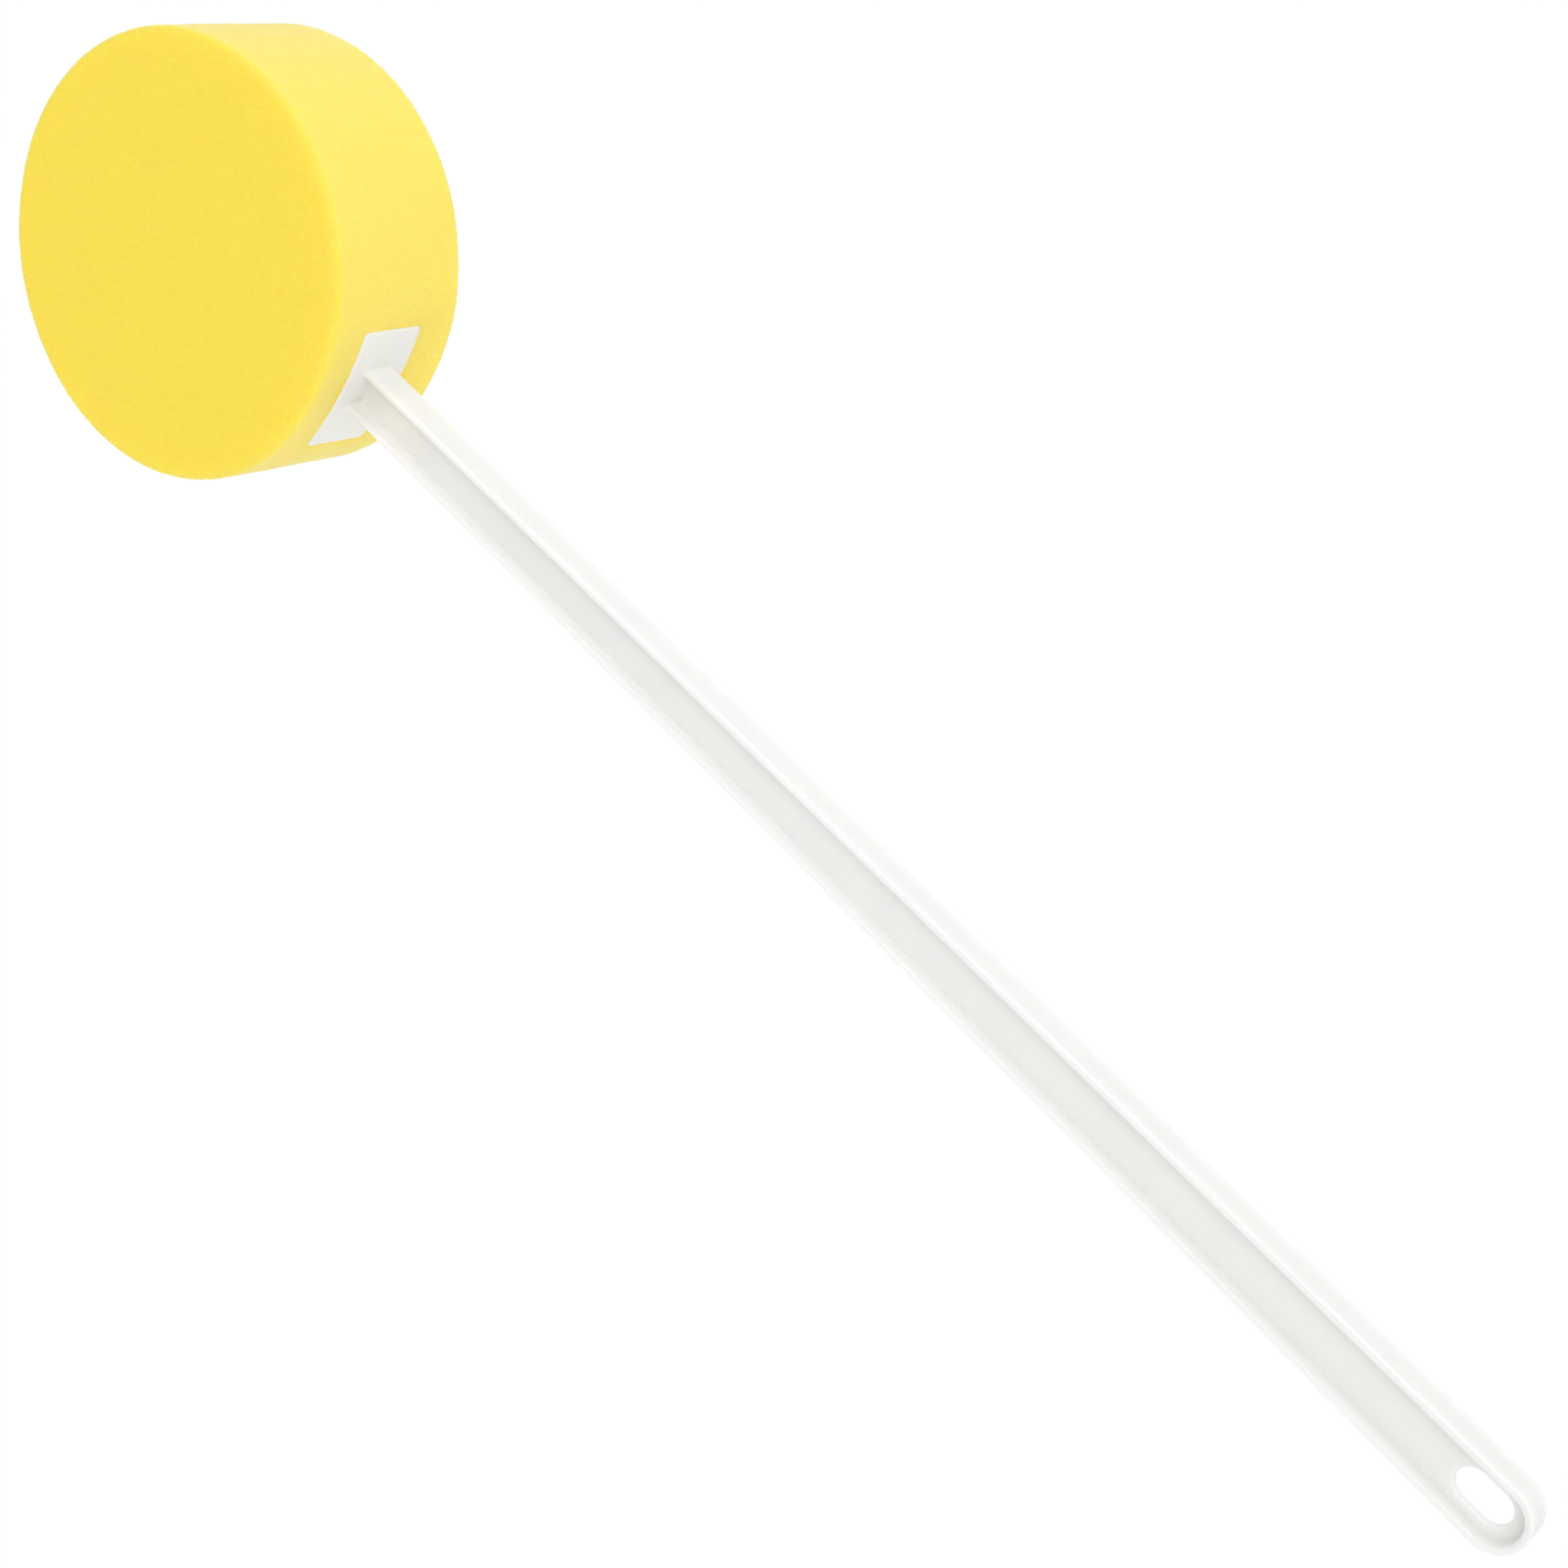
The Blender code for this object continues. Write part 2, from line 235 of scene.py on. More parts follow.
def mesh_from(name, points, faces):
    """Return a mesh made of points and faces."""
    mesh = bpy.data.meshes.new(name)
    mesh.from_pydata([tuple(point) for point in points], [], faces)
    mesh.validate()
    mesh.update()
    return mesh


def make_camera():
    """Place the camera at the viewing angle of the picture that the part follows."""
    camera = bpy.data.cameras.new("camera")
    camera.lens = CAMERA_LENS
    camera.sensor_width = CAMERA_SENSOR
    camera.clip_start = CAMERA_NEAR
    camera.clip_end = CAMERA_FAR
    holder = add_object("camera", camera)
    holder.location = CAMERA_PLACE
    holder.rotation_euler = [math.radians(angle) for angle in CAMERA_TURN]
    bpy.context.scene.camera = holder


make_camera()


# ---------------------------------------------------------------- foam disc

def square_to_disc(a, b):
    """Map a point of the square -1..1 to the unit disc, evenly spaced on the rim."""
    if a == 0.0 and b == 0.0:
        return 0.0, 0.0
    if abs(a) > abs(b):
        radius, angle = a, math.pi / 4 * b / a
    else:
        radius, angle = b, math.pi / 2 - math.pi / 4 * a / b
    return radius * math.cos(angle), radius * math.sin(angle)


def rim_indices(count):
    """Return the grid places on the square's border, anticlockwise from the corner (1, -1)."""
    right = [(count, j) for j in range(count)]
    top = [(i, count) for i in range(count, 0, -1)]
    left = [(0, j) for j in range(count, 0, -1)]
    bottom = [(i, 0) for i in range(count)]
    return right + top + left + bottom


def foam_profile():
    """Return (radius, height, normal angle from +Z) down the disc's side, between its flats."""
    edge = FOAM_EDGE_RADIUS
    flat_radius = FOAM_RADIUS - edge
    rows = []
    for step in range(1, FOAM_EDGE_STEPS + 1):
        angle = math.pi / 2 * step / FOAM_EDGE_STEPS
        height = FOAM_THICKNESS - edge * (1 - math.cos(angle))
        rows.append((flat_radius + edge * math.sin(angle), height, angle))
    for step in range(1, FOAM_SIDE_STEPS):
        height = FOAM_THICKNESS - edge - (FOAM_THICKNESS - 2 * edge) * step / FOAM_SIDE_STEPS
        rows.append((FOAM_RADIUS, height, math.pi / 2))
    for step in range(FOAM_EDGE_STEPS):
        angle = math.pi / 2 * (1 + step / FOAM_EDGE_STEPS)
        height = edge * (1 + math.cos(angle))
        rows.append((flat_radius + edge * math.sin(angle), height, angle))
    return rows


def disc_surface():
    """Return points, outward normals and faces of the plain disc with rounded edges."""
    count = FOAM_GRID
    flat_radius = FOAM_RADIUS - FOAM_EDGE_RADIUS
    points, normals, faces = [], [], []

    def add_flat(height, facing):
        start = len(points)
        for i in range(count + 1):
            for j in range(count + 1):
                x, y = square_to_disc(2 * i / count - 1, 2 * j / count - 1)
                points.append((flat_radius * x, flat_radius * y, height))
                normals.append((0.0, 0.0, facing))
        for i in range(count):
            for j in range(count):
                first = start + i * (count + 1) + j
                quad = (first, first + count + 1, first + count + 2, first + 1)
                faces.append(quad if facing > 0 else quad[::-1])
        return [start + i * (count + 1) + j for i, j in rim_indices(count)]

    rings = [add_flat(FOAM_THICKNESS, 1.0)]
    columns = 4 * count
    for radius, height, tilt in foam_profile():
        start = len(points)
        for column in range(columns):
            angle = -math.pi / 4 + 2 * math.pi * column / columns
            points.append((radius * math.cos(angle), radius * math.sin(angle), height))
            across = math.sin(tilt)
            normals.append((across * math.cos(angle), across * math.sin(angle), math.cos(tilt)))
        rings.append(list(range(start, start + columns)))
    rings.append(add_flat(0.0, -1.0))
    for upper, lower in zip(rings, rings[1:]):
        for column in range(columns):
            following = (column + 1) % columns
            faces.append((upper[column], lower[column], lower[following], upper[following]))
    return np.array(points), np.array(normals), faces


def foam_relief(point):
    """Return how far the cut foam stands out at a point: lumps, knife marks and pores."""
    lumps = LUMP_HEIGHT * noise.noise(point / LUMP_SIZE)
    marks = noise.fractal(point / CUT_SIZE, CUT_SMOOTHNESS, CUT_SCALE_STEP, CUT_OCTAVES)
    cut = CUT_HEIGHT * marks
    distances = noise.voronoi(point / PORE_SIZE)[0]
    pore = -PORE_DEPTH * max(0.0, 1.0 - (distances[0] / PORE_REACH) ** 2)
    return lumps + cut + pore


def bent_x(y, depth):
    """Return the x of a point at y that lies depth under the flange's outer face."""
    return BEND_X + math.sqrt((FLANGE_BEND_RADIUS - depth) ** 2 - (y - BEND_Y) ** 2)


def flange_distance(x, y, z):
    """Return how far a point of the disc's side lies outside the flange's outline."""
    angle = math.atan2(y - BEND_Y, x - BEND_X) - FLANGE_TILT
    along = abs(FLANGE_BEND_RADIUS * angle) - FLANGE_LENGTH / 2
    across = abs(z - MID_PLANE) - FLANGE_WIDTH / 2
    if along > 0 and across > 0:
        return math.hypot(along, across)
    return max(along, across)


def pressed_in(point):
    """Return the point moved inwards where the flange presses on the disc's side."""
    x, y, z = point
    outside = max(flange_distance(x, y, z), 0.0)
    share = math.exp(-((outside / DENT_SPREAD) ** DENT_FALL))
    radius = math.hypot(x - BEND_X, y - BEND_Y)
    excess = radius - (FLANGE_BEND_RADIUS - DENT_LIP)
    if excess <= 0 or share < DENT_END or x < 0:
        return point
    scale = (radius - share * excess) / radius
    return (BEND_X + (x - BEND_X) * scale, BEND_Y + (y - BEND_Y) * scale, z)


def is_level(edge):
    """Say whether both ends of an edge lie at the same height."""
    return abs(edge.verts[0].co.z - edge.verts[1].co.z) < LEVEL_LIMIT


def round_off(shape, edges, radius, steps):
    """Round the edges of a shape."""
    bmesh.ops.bevel(
        shape, geom=edges, offset=radius, segments=steps, profile=0.5, affect="EDGES"
    )


def finished_mesh(name, shape):
    """Return shape as a mesh, and free the shape."""
    mesh = bpy.data.meshes.new(name)
    shape.to_mesh(mesh)
    shape.free()
    return mesh


def plate_mesh(name, gap):
    """Return the flange plate, grown by gap on every side, and bent."""
    length = FLANGE_LENGTH + 2 * gap
    width = FLANGE_WIDTH + 2 * gap
    thickness = FLANGE_THICKNESS + 2 * gap
    shape = bmesh.new()
    bmesh.ops.create_cube(shape, size=1.0)
    for vertex in shape.verts:
        vertex.co = (vertex.co.x * length, vertex.co.y * width, vertex.co.z * thickness)
    corners = [edge for edge in shape.edges if not is_level(edge)]
    round_off(shape, corners, FLANGE_CORNER, FLANGE_CORNER_STEPS)
    rims = [edge for edge in shape.edges if is_level(edge)]
    round_off(shape, rims, FLANGE_EDGE_ROUND, FLANGE_EDGE_STEPS)
    for step in range(1, FLANGE_SLICES):
        place = length * (step / FLANGE_SLICES - 0.5)
        everything = shape.verts[:] + shape.edges[:] + shape.faces[:]
        bmesh.ops.bisect_plane(
            shape, geom=everything, plane_co=(place, 0.0, 0.0), plane_no=(1.0, 0.0, 0.0)
        )
    for vertex in shape.verts:
        along, across, out = vertex.co
        radius = FLANGE_BEND_RADIUS - FLANGE_THICKNESS / 2 + out
        angle = FLANGE_TILT + along / FLANGE_BEND_RADIUS
        x, y = BEND_X + radius * math.cos(angle), BEND_Y + radius * math.sin(angle)
        vertex.co = (x, y, MID_PLANE + across)
    bmesh.ops.recalc_face_normals(shape, faces=shape.faces)
    return finished_mesh(name, shape)


def blade_mesh(name, thickness, side_gap, edge_round):
    """Return the blade, a tapered strip with a round nose, grown sideways by side_gap.

    Its root ends half-way through the flange.
    """
    nose_radius = BLADE_NOSE_WIDTH / 2 + side_gap
    root_half = BLADE_ROOT_WIDTH / 2 + side_gap
    nose_centre = BLADE_NOSE_X + BLADE_NOSE_WIDTH / 2
    outline = []
    for step in range(BLADE_NOSE_STEPS + 1):
        angle = math.pi / 2 + math.pi * step / BLADE_NOSE_STEPS
        x = nose_centre + nose_radius * math.cos(angle)
        outline.append((x, nose_radius * math.sin(angle)))
    for step in range(BLADE_ROOT_STEPS + 1):
        y = root_half * (2 * step / BLADE_ROOT_STEPS - 1)
        outline.append((bent_x(y + FLANGE_SHIFT_Y, FLANGE_THICKNESS / 2), y))
    shape = bmesh.new()
    corners = [
        shape.verts.new((x, y + FLANGE_SHIFT_Y, MID_PLANE - thickness / 2)) for x, y in outline
    ]
    base = shape.faces.new(corners)
    grown = bmesh.ops.extrude_face_region(shape, geom=[base])
    for item in grown["geom"]:
        if isinstance(item, bmesh.types.BMVert):
            item.co.z += thickness
    bmesh.ops.recalc_face_normals(shape, faces=shape.faces)
    if edge_round > 0:
        level = [edge for edge in shape.edges if is_level(edge)]
        round_off(shape, level, edge_round, BLADE_EDGE_STEPS)
    return finished_mesh(name, shape)


def cut_or_join(target, helper, operation):
    """Cut target with helper, or join helper to it, and leave only the result."""
    modifier = target.modifiers.new(operation, "BOOLEAN")
    modifier.operation = operation
    modifier.solver = "EXACT"
    modifier.object = helper
    bpy.context.view_layer.update()
    evaluated = target.evaluated_get(bpy.context.evaluated_depsgraph_get())
    result = bpy.data.meshes.new_from_object(evaluated)
    target.modifiers.clear()
    target.data = result
    bpy.data.objects.remove(helper, do_unlink=True)


def paint(mesh, name, values):
    """Store one number for each vertex, for the material to read."""
    attribute = mesh.attributes.new(name, "FLOAT", "POINT")
    attribute.data.foreach_set("value", np.array(values, np.float32))


def make_foam():
    """Return the foam disc: its cut surface, the dent of the flange and the blade's pocket."""
    points, normals, faces = disc_surface()
    placed = []
    for point, normal in zip(points, normals):
        out = foam_relief(Vector(point))
        placed.append(pressed_in(point + normal * out + FOAM_SHIFT))
    foam = add_object("foam_sponge", mesh_from("foam_sponge", placed, faces))
    cut_or_join(foam, add_object("seat", plate_mesh("seat", POCKET_GAP)), "DIFFERENCE")
    slit_mesh = blade_mesh("slit", 2 * SLIT_HALF_HEIGHT, SLIT_SIDE_GAP, 0.0)
    cut_or_join(foam, add_object("slit", slit_mesh), "DIFFERENCE")
    mesh = foam.data
    mesh.name = "foam_sponge"
    count = len(mesh.vertices)
    places = np.zeros(count * 3)
    mesh.vertices.foreach_get("co", places)
    places = places.reshape(-1, 3) - FOAM_SHIFT
    paint_foam(mesh, places)
    mesh.shade_smooth()
    mesh.set_sharp_from_angle(angle=FOAM_SHARP_ANGLE)
    return foam


def paint_foam(mesh, places):
    """Mark the disc's side, the painted shade on its rounded ridges and the flange's seat on the
    mesh.
    """
    edge = FOAM_EDGE_RADIUS
    radius = np.hypot(places[:, 0], places[:, 1])
    from_face = np.minimum(places[:, 2], FOAM_THICKNESS - places[:, 2])
    past_flat = radius - (FOAM_RADIUS - edge)
    below_edge = edge - from_face
    turn = np.arctan2(np.maximum(past_flat, 0.0), np.maximum(below_edge, 1e-9))
    along_flat = np.maximum(-past_flat, 0.0)
    along_side = np.maximum(-below_edge, 0.0)
    side = np.where(past_flat > 0, np.clip(turn / (math.pi / 4) - 1.0, 0.0, 1.0), 0.0)
    from_ridge = along_flat + along_side + edge * np.abs(turn - RIDGE_SHADE_TURN)
    from_ridge = np.where(past_flat > 0, from_ridge, along_flat + edge * RIDGE_SHADE_TURN)
    paint(mesh, "foam_side", side)
    # The ridge mask carries the painted shade of the rounded ridges.
    paint(mesh, "foam_ridge_shade", np.exp(-((from_ridge / RIDGE_SHADE_SPREAD) ** 2)))
    near = []
    for x, y, z in places + FOAM_SHIFT:
        outside = max(flange_distance(x, y, z), 0.0) if x > 0 else 1.0
        near.append(math.exp(-((outside / SEAT_SPREAD) ** 2)))
    paint(mesh, "foam_seat", near)


# ---------------------------------------------------------------- moulded handle

def along_stem(x, sizes):
    """Return a stem size at x, which changes evenly from the flange to the tip's arc."""
    start, stop = FLANGE_FACE_X, HANDLE_REACH - TIP_LENGTH
    share = min(max((x - start) / (stop - start), 0.0), 1.0)
    return sizes[0] + (sizes[1] - sizes[0]) * share


def turn_points(centre, radius, start, stop):
    """Return (inset, height) points on a small arc of the wall's profile, angles in degrees."""
    found = []
    for step in range(ROUND_STEPS + 1):
        angle = math.radians(start + (stop - start) * step / ROUND_STEPS)
        found.append((centre[0] + radius * math.cos(angle), centre[1] + radius * math.sin(angle)))
    return found


def wall_profile(half_depth, wall, flare):
    """Return (inset, height) points from the web's face over the rim to the mid-plane.

    The inset is measured inwards from the stem's outline, and the flare thickens the wall
    and the web on every side.
    """
    rim = half_depth + flare
    web = WEB_THICKNESS / 2 + flare
    foot = wall + WALL_DRAFT + flare
    profile = turn_points((foot + FLOOR_FILLET, web + FLOOR_FILLET), FLOOR_FILLET, 270, 180)
    inner = (wall + flare - INNER_RIM_ROUND, rim - INNER_RIM_ROUND)
    profile += turn_points(inner, INNER_RIM_ROUND, 0, 90)
    outer = (OUTER_RIM_ROUND - flare, rim - OUTER_RIM_ROUND)
    profile += turn_points(outer, OUTER_RIM_ROUND, 90, 180)
    profile.append((-flare, half_depth / 2))
    profile.append((-flare, 0.0))
    return profile


def join_fillet():
    """Return (distance from the flange's face, flare) along the fillet of the stem's root."""
    steepest = math.radians(JOIN_TURN)
    rows = [(-FLANGE_THICKNESS / 2, JOIN_FILLET * (1 - math.cos(steepest)))]
    for step in range(JOIN_STEPS + 1):
        angle = math.radians(JOIN_TURN * (1 - step / JOIN_STEPS))
        rows.append((JOIN_FILLET * (1 - math.sin(angle)), JOIN_FILLET * (1 - math.cos(angle))))
    return rows


def outline_stations():
    """Return (x, y, inward x, inward y, flare) along the stem's outline.

    It runs from the flange at +Y round the tip to the flange at -Y. The flare thickens the
    stem at its root, for the fillet there.
    """
    side = join_fillet()
    arc_x = HANDLE_REACH - TIP_LENGTH
    stations = []
    for distance, flare in side:
        half_width = along_stem(FLANGE_FACE_X + distance, STEM_WIDTH) / 2
        x = bent_x(half_width, 0.0) + distance
        stations.append((x, half_width, 0.0, -1.0, flare))
    start = stations[-1][0]
    for step in range(1, STEM_STATIONS + 1):
        x = start + (arc_x - start) * step / STEM_STATIONS
        stations.append((x, along_stem(x, STEM_WIDTH) / 2, 0.0, -1.0, 0.0))
    half_width = STEM_WIDTH[1] / 2
    for step in range(1, TIP_STATIONS):
        angle = math.pi / 2 - math.pi * step / TIP_STATIONS
        x = arc_x + TIP_LENGTH * math.cos(angle)
        y = half_width * math.sin(angle)
        slope = Vector((-math.cos(angle) / TIP_LENGTH, -math.sin(angle) / half_width))
        inward = slope.normalized()
        stations.append((x, y, inward.x, inward.y, 0.0))
    mirrored = [
        (x, -y, inward_x, -inward_y, flare)
        for x, y, inward_x, inward_y, flare in reversed(stations[: len(side) + STEM_STATIONS])
    ]
    return stations + mirrored


def slot_outline(inset):
    """Return the hanging slot's outline, grown by inset."""
    radius = SLOT_WIDTH / 2 + inset
    half = SLOT_LENGTH / 2 - SLOT_WIDTH / 2
    found = []
    for centre, start in ((half, -math.pi / 2), (-half, math.pi / 2)):
        for step in range(SLOT_STEPS + 1):
            angle = start + math.pi * step / SLOT_STEPS
            x = SLOT_CENTRE_X + centre + radius * math.cos(angle)
            found.append((x, radius * math.sin(angle)))
    return found


def stem_mesh(name):
    """Return the stem: walls swept round its outline, the web, and the slot through it."""
    stations = outline_stations()
    points, faces, strips = [], [], []
    for x, y, inward_x, inward_y, flare in stations:
        upper = wall_profile(along_stem(x, STEM_DEPTH) / 2, along_stem(x, STEM_WALL), flare)
        lower = [(inset, -height) for inset, height in reversed(upper[:-1])]
        strip = []
        for inset, height in upper + lower:
            strip.append(len(points))
            points.append((x + inward_x * inset, y + inward_y * inset, MID_PLANE + height))
        strips.append(strip)
    for first, second in zip(strips, strips[1:]):
        for row in range(len(first) - 1):
            faces.append((first[row], second[row], second[row + 1], first[row + 1]))
    faces.append(tuple(strips[0]) + tuple(reversed(strips[-1])))
    add_web(points, faces, strips, 0, 1.0)
    add_web(points, faces, strips, -1, -1.0)
    mesh = mesh_from(name, points, faces)
    shape = bmesh.new()
    shape.from_mesh(mesh)
    bmesh.ops.remove_doubles(shape, verts=shape.verts, dist=MERGE_DISTANCE)
    bmesh.ops.recalc_face_normals(shape, faces=shape.faces)
    shape.to_mesh(mesh)
    shape.free()
    return mesh


def add_web(points, faces, strips, row, sign):
    """Add one face of the web between the walls, with the slot's rounded edge in it."""
    loop = [strip[row] for strip in strips]
    count = len(loop)
    last_rung = 0
    for rung in range(count // 2 - 1):
        reach = points[loop[rung + 1]][0]
        if reach > SLOT_CENTRE_X - SLOT_LENGTH / 2 - 2 * SLOT_EDGE_ROUND:
            break
        far, near = loop[count - 2 - rung], loop[count - 1 - rung]
        faces.append((loop[rung], loop[rung + 1], far, near))
        last_rung = rung + 1
    border = loop[last_rung : count - last_rung]
    level = points[border[0]][2]
    rings = []
    for step in range(ROUND_STEPS + 1):
        angle = math.pi / 2 * step / ROUND_STEPS
        inset = SLOT_EDGE_ROUND * (1 - math.sin(angle))
        drop = SLOT_EDGE_ROUND * (1 - math.cos(angle))
        ring = []
        for x, y in slot_outline(inset):
            ring.append(len(points))
            points.append((x, y, level - sign * drop))
        rings.append(ring)
    middle = []
    for x, y in slot_outline(0.0):
        middle.append(len(points))
        points.append((x, y, MID_PLANE))
    rings.append(middle)
    for upper, lower in zip(rings, rings[1:]):
        for place in range(len(upper)):
            following = (place + 1) % len(upper)
            faces.append((upper[place], upper[following], lower[following], lower[place]))
    hole = rings[0]
    flat = [Vector(points[index][:2]) for index in border + hole]
    edges = [(place, (place + 1) % len(border)) for place in range(len(border))]
    offset = len(border)
    edges += [(offset + place, offset + (place + 1) % len(hole)) for place in range(len(hole))]
    made = geometry.delaunay_2d_cdt(flat, edges, [], 1, 1e-9)
    origin = [sources[0] for sources in made[3]]
    names = border + hole
    for triangle in made[2]:
        centre = sum((made[0][corner] for corner in triangle), Vector((0.0, 0.0))) / 3
        if not in_slot(centre):
            faces.append(tuple(names[origin[corner]] for corner in triangle))


def in_slot(place):
    """Say whether a point of the web lies inside the grown slot."""
    half = SLOT_LENGTH / 2 - SLOT_WIDTH / 2
    along = place.x - SLOT_CENTRE_X
    past = max(abs(along) - half, 0.0)
    return math.hypot(past, place.y) < SLOT_WIDTH / 2 + SLOT_EDGE_ROUND * 0.98


def key_hole(place):
    """Return the cutter of one keying hole through the blade."""
    shape = bmesh.new()
    bmesh.ops.create_cone(
        shape,
        cap_ends=True,
        segments=KEY_HOLE_SIDES,
        radius1=KEY_HOLE_RADIUS,
        radius2=KEY_HOLE_RADIUS,
        depth=3 * BLADE_THICKNESS,
    )
    for vertex in shape.verts:
        vertex.co += Vector((place, FLANGE_SHIFT_Y, MID_PLANE))
    return add_object("key_hole", finished_mesh("key_hole", shape))


def make_handle():
    """Return the whole moulding as one piece."""
    handle = add_object("handle_moulding", stem_mesh("handle_moulding"))
    blade = add_object("blade", blade_mesh("blade", BLADE_THICKNESS, 0.0, BLADE_EDGE_ROUND))
    for place in KEY_HOLE_PLACES:
        cut_or_join(blade, key_hole(place), "DIFFERENCE")
    cut_or_join(handle, add_object("flange", plate_mesh("flange", 0.0)), "UNION")
    cut_or_join(handle, blade, "UNION")
    handle.data.name = "handle_moulding"
    handle.data.shade_smooth()
    handle.data.set_sharp_from_angle(angle=HANDLE_SHARP_ANGLE)
    return handle


# ---------------------------------------------------------------- materials

class Nodes:
    """A material's node tree, with short calls to add and join nodes."""

    def __init__(self, name):
        self.material = bpy.data.materials.new(name)
        self.material.use_nodes = True
        self.tree = self.material.node_tree
        self.shader = self.tree.nodes["Principled BSDF"]

    def add(self, kind, **settings):
        """Add a node; settings are its properties, or values of its inputs by name."""
        node = self.tree.nodes.new(kind)
        for key, value in settings.items():
            if hasattr(node, key):
                setattr(node, key, value)
            else:
                node.inputs[key.replace("_", " ")].default_value = value
        return node

    def link(self, output, target):
        """Join an output socket to an input socket."""
        self.tree.links.new(output, target)

    def place(self):
        """Return the object's own coordinates."""
        return self.add("ShaderNodeTexCoord").outputs["Object"]

    def along_handle(self):
        """Return the place along the handle, in metres."""
        node = self.add("ShaderNodeSeparateXYZ")
        self.link(self.place(), node.inputs["Vector"])
        return node.outputs["X"]

    def noise(self, size, detail, roughness=0.5):
        """Return noise whose features are about size metres across."""
        node = self.add("ShaderNodeTexNoise", Scale=1.0 / size, Detail=detail, Roughness=roughness)
        self.link(self.place(), node.inputs["Vector"])
        return node.outputs["Fac"]

    def cells(self, size):
        """Return the distance to the middle of cells about size metres across."""
        node = self.add("ShaderNodeTexVoronoi", feature="F1", Scale=1.0 / size)
        self.link(self.place(), node.inputs["Vector"])
        return node.outputs["Distance"]

    def spread(self, value, low, high, to_low, to_high):
        """Return value moved from low..high to to_low..to_high."""
        node = self.add("ShaderNodeMapRange")
        self.link(value, node.inputs["Value"])
        node.inputs["From Min"].default_value = low
        node.inputs["From Max"].default_value = high
        node.inputs["To Min"].default_value = to_low
        node.inputs["To Max"].default_value = to_high
        return node.outputs["Result"]

    def attribute(self, name):
        """Return a number that was painted on the mesh."""
        return self.add("ShaderNodeAttribute", attribute_name=name).outputs["Fac"]

    def mix(self, factor, first, second):
        """Return two colours mixed by a socket; each is a socket or an (r, g, b)."""
        node = self.add("ShaderNodeMix", data_type="RGBA", blend_type="MIX")
        factor_input, first_input, second_input = (node.inputs[place] for place in (0, 6, 7))
        self.link(factor, factor_input)
        for value, target in ((first, first_input), (second, second_input)):
            if isinstance(value, tuple):
                target.default_value = (*value, 1.0)
            else:
                self.link(value, target)
        return node.outputs[2]

    def bump(self, height, distance, strength, after=None):
        """Return a normal bumped by height, on top of an earlier one."""
        node = self.add("ShaderNodeBump")
        node.inputs["Distance"].default_value = distance
        node.inputs["Strength"].default_value = strength
        self.link(height, node.inputs["Height"])
        if after is not None:
            self.link(after, node.inputs["Normal"])
        return node.outputs["Normal"]

    def set_values(self, **values):
        """Set the shader's own sockets to numbers or colours."""
        for key, value in values.items():
            self.shader.inputs[key.replace("_", " ")].default_value = value


def foam_material():
    """Return yellow open-cell foam: fine pores with painted shade in them, a side painted paler,
    partly its own nap and partly painted sheen, painted shade on the rounded ridges, and a soft
    nap.
    """
    nodes = Nodes("yellow_foam")
    # The side's paler colour is partly its own nap and partly painted sheen.
    colour = nodes.mix(nodes.attribute("foam_side"), FOAM_FACE_COLOUR, FOAM_SIDE_NAP_AND_SHEEN_COLOUR)
    # Painted shade on the rounded ridges.
    ridge_shade = nodes.spread(nodes.attribute("foam_ridge_shade"), 0.0, 1.0, 0.0, RIDGE_SHADE_SHARE)
    colour = nodes.mix(ridge_shade, colour, FOAM_RIDGE_SHADE_COLOUR)
    mottle = nodes.spread(nodes.noise(0.007, 3.0), 0.35, 0.65, 0.0, MOTTLE_SHARE)
    colour = nodes.mix(mottle, colour, FOAM_DEEP_COLOUR)
    pores = nodes.cells(FINE_PORE_SIZE)
    face_shade = nodes.spread(pores, 0.0, FINE_PORE_RADIUS, FACE_PORE_SHADE, 0.0)
    side_shade = nodes.spread(pores, 0.0, FINE_PORE_RADIUS, SIDE_PORE_SHADE, 0.0)
    on_face = nodes.mix(face_shade, colour, FOAM_DEEP_COLOUR)
    on_side = nodes.mix(side_shade, colour, FOAM_DEEP_COLOUR)
    colour = nodes.mix(nodes.attribute("foam_side"), on_face, on_side)
    nodes.link(colour, nodes.shader.inputs["Base Color"])
    rough = nodes.spread(nodes.noise(0.0009, 2.0), 0.3, 0.7, 0.88, 1.0)
    nodes.link(rough, nodes.shader.inputs["Roughness"])
    fine = nodes.bump(nodes.noise(0.00035, 3.0, 0.65), 0.00012, 0.7)
    normal = nodes.bump(pores, 0.00018, 1.0, fine)
    nodes.link(normal, nodes.shader.inputs["Normal"])
    soft = nodes.spread(nodes.attribute("foam_seat"), 0.0, 1.0, FOAM_GLOW_INSIDE, 0.0)
    nodes.link(soft, nodes.shader.inputs["Subsurface Weight"])
    nodes.set_values(
        Subsurface_Radius=(1.0, 0.75, 0.28),
        Subsurface_Scale=0.0055,
        Sheen_Weight=0.40,
        Sheen_Roughness=0.30,
        Sheen_Tint=(*FOAM_NAP_COLOUR, 1.0),
        Specular_IOR_Level=0.15,
    )
    return nodes.material


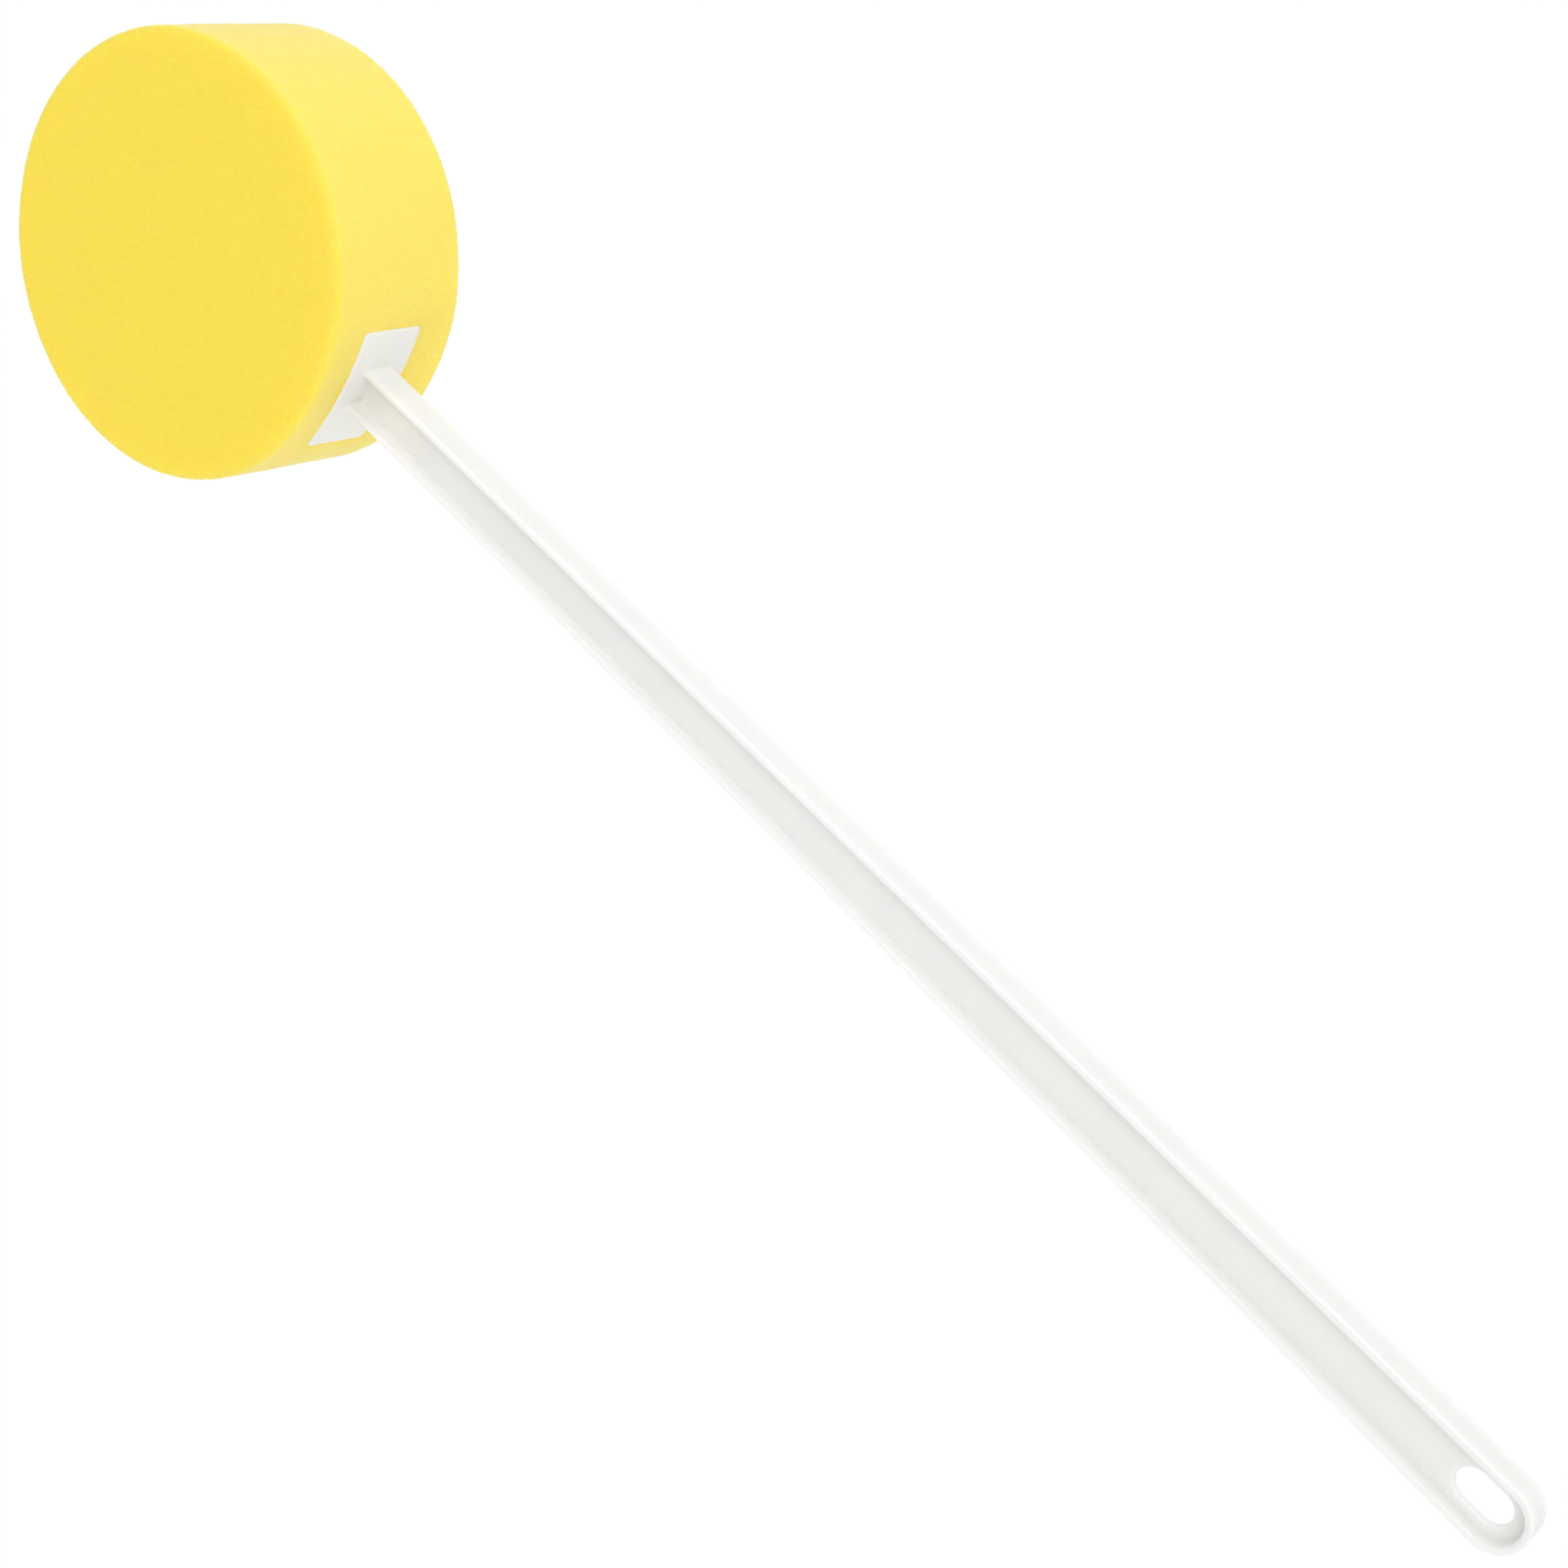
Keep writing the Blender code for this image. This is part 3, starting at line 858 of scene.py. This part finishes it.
def plastic_material():
    """Return white polypropylene: faintly mottled, satin, with a fine moulded grain.

    The flange has painted warm light from the foam, brighter and yellower, the thin walls let
    light through, and painted shade makes the plastic greyer towards the slot.
    """
    nodes = Nodes("white_plastic")
    face = FLANGE_FACE_X
    mottle = nodes.spread(nodes.noise(0.012, 3.0), 0.3, 0.7, 0.0, 1.0)
    colour = nodes.mix(mottle, PLASTIC_WHITE, PLASTIC_COOL)
    # Painted warm light from the foam, near the flange.
    foam_bounce = nodes.spread(nodes.along_handle(), face, face + FOAM_BOUNCE_REACH, 1.0, 0.0)
    colour = nodes.mix(foam_bounce, colour, PLASTIC_FOAM_BOUNCE_LIGHT)
    # Painted shade, greyer towards the slot.
    tip_shade = nodes.spread(nodes.along_handle(), TIP_SHADE_START_X, HANDLE_REACH, 0.0, 1.0)
    colour = nodes.mix(tip_shade, colour, PLASTIC_TIP_SHADE)
    nodes.link(colour, nodes.shader.inputs["Base Color"])
    rough = nodes.spread(nodes.noise(0.004, 4.0, 0.6), 0.25, 0.75, 0.36, 0.50)
    nodes.link(rough, nodes.shader.inputs["Roughness"])
    waves = nodes.bump(nodes.noise(0.006, 2.0), 0.00012, 0.25)
    grain = nodes.bump(nodes.noise(0.00022, 2.0), 0.000015, 0.5, waves)
    nodes.link(grain, nodes.shader.inputs["Normal"])
    thin = nodes.spread(nodes.along_handle(), face + THIN_START, face + THIN_END, 0.05, 1.0)
    nodes.link(thin, nodes.shader.inputs["Subsurface Weight"])
    nodes.set_values(
        Subsurface_Radius=(1.0, 0.95, 0.85),
        Subsurface_Scale=0.0040,
        Specular_IOR_Level=0.3,
        IOR=1.49,
    )
    return nodes.material


def glue_material():
    """Return dried adhesive: amber, cloudy, with small bubbles."""
    nodes = Nodes("adhesive")
    cloud = nodes.spread(nodes.noise(0.003, 4.0), 0.3, 0.7, 0.0, 1.0)
    colour = nodes.mix(cloud, GLUE_CLEAR, GLUE_AMBER)
    bubbles = nodes.cells(0.0012)
    colour = nodes.mix(nodes.spread(bubbles, 0.0, 0.25, 0.5, 0.0), colour, GLUE_BUBBLE)
    nodes.link(colour, nodes.shader.inputs["Base Color"])
    rough = nodes.spread(nodes.noise(0.002, 2.0), 0.3, 0.7, 0.25, 0.5)
    nodes.link(rough, nodes.shader.inputs["Roughness"])
    nodes.link(nodes.bump(bubbles, 0.00015, 0.4), nodes.shader.inputs["Normal"])
    return nodes.material


def give_material(thing, material):
    """Make material the only one on a thing's object slots."""
    if not thing.data.materials:
        thing.data.materials.append(material)
    for slot in thing.material_slots:
        slot.link = "OBJECT"
        slot.material = material


# ---------------------------------------------------------------- floor and light

def make_floor():
    """Make the pale floor: a light table, whose glow keeps the shadows on it faint."""
    half = FLOOR_SIZE / 2
    level = CAD_BOX[0].z - FLOOR_DROP
    places = ((-half, -half), (half, -half), (half, half), (-half, half))
    corners = [(x, y, level) for x, y in places]
    floor = add_object("floor", mesh_from("floor", corners, [(0, 1, 2, 3)]))
    nodes = Nodes("pale_floor")
    nodes.set_values(
        Base_Color=(*FLOOR_COLOUR, 1.0),
        Roughness=1.0,
        Specular_IOR_Level=0.0,
        Emission_Color=(*WHITE, 1.0),
        Emission_Strength=FLOOR_GLOW,
    )
    floor.data.materials.append(nodes.material)


def make_sky():
    """Fill the room with even white light."""
    world = bpy.data.worlds.new("white_room")
    world.use_nodes = True
    background = world.node_tree.nodes["Background"]
    background.inputs["Color"].default_value = (*WHITE, 1.0)
    background.inputs["Strength"].default_value = SKY_STRENGTH
    bpy.context.scene.world = world


def make_softbox(name, place, size, power):
    """Add a square area light at place, turned to the middle of the object."""
    light = bpy.data.lights.new(name, "AREA")
    light.shape = "SQUARE"
    light.size = size
    light.energy = power
    lamp = add_object(name, light)
    lamp.location = place
    towards = Vector(LIGHT_AIM) - Vector(place)
    lamp.rotation_euler = towards.to_track_quat("-Z", "Y").to_euler()


def main():
    """Build the pieces, their materials and the studio."""
    foam = make_foam()
    handle = make_handle()
    give_material(foam, foam_material())
    give_material(handle, plastic_material())
    glue = glue_material()
    for film in ("glue_film_front", "glue_film_rear"):
        give_material(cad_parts[film], glue)
    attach(foam, "root")
    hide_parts("foam_head")
    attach(handle, "root")
    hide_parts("handle")
    make_floor()
    make_sky()
    make_softbox("key", KEY_PLACE, KEY_SIZE, KEY_POWER)
    make_softbox("fill", FILL_PLACE, FILL_SIZE, FILL_POWER)
    bpy.context.scene.view_settings.view_transform = "Standard"


main()
